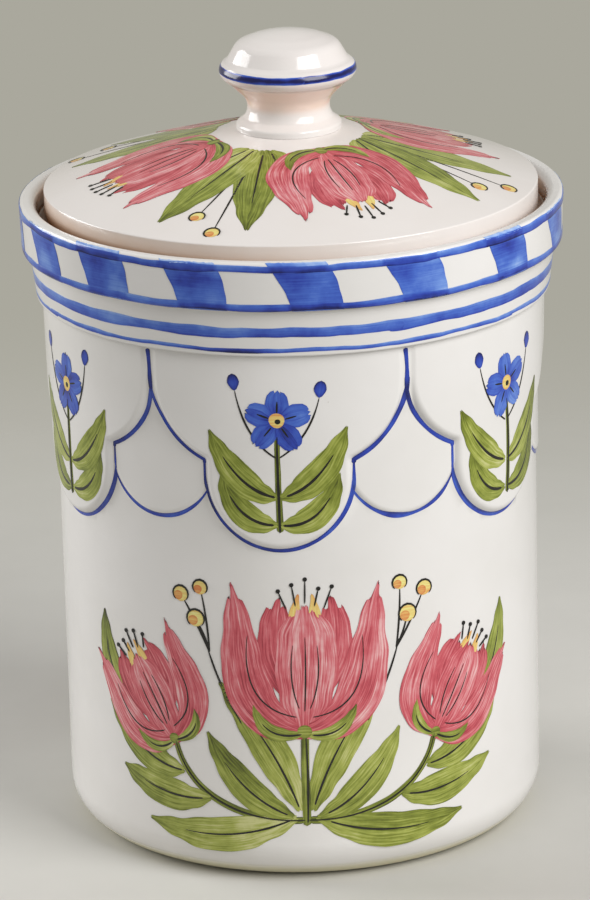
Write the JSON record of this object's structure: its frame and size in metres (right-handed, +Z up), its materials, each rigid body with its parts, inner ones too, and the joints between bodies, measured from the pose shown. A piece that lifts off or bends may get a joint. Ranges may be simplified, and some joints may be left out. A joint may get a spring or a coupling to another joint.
{
  "type": "lidded kitchen canister",
  "caption": "Round glazed earthenware kitchen canister with a moulded scalloped apron, a checked rim and a loose domed lid with a turned knob, for dry food.",
  "frame": {"origin": "centre of the foot, on the surface that the canister stands on", "axes": "+Z up along the axis of the jar, -Y towards the front"},
  "size_m": [0.1736, 0.1736, 0.2592],
  "materials": {
    "jar_glaze": "clear gloss glaze over white earthenware with brushed underglaze decoration",
    "lid_glaze": "clear gloss glaze over white earthenware with brushed underglaze decoration",
    "knob_glaze": "clear gloss glaze over white earthenware with one brushed line"
  },
  "bodies": {
    "jar": {"jar_body": "jar_glaze"},
    "lid": {"lid": "lid_glaze", "lid_knob": "knob_glaze"}
  },
  "joints": [
    {"name": "lid_lift", "type": "slide", "parent": "jar", "child": "lid", "axis": [0, 0, 1], "range_m": [0, 0.2]}
  ]
}
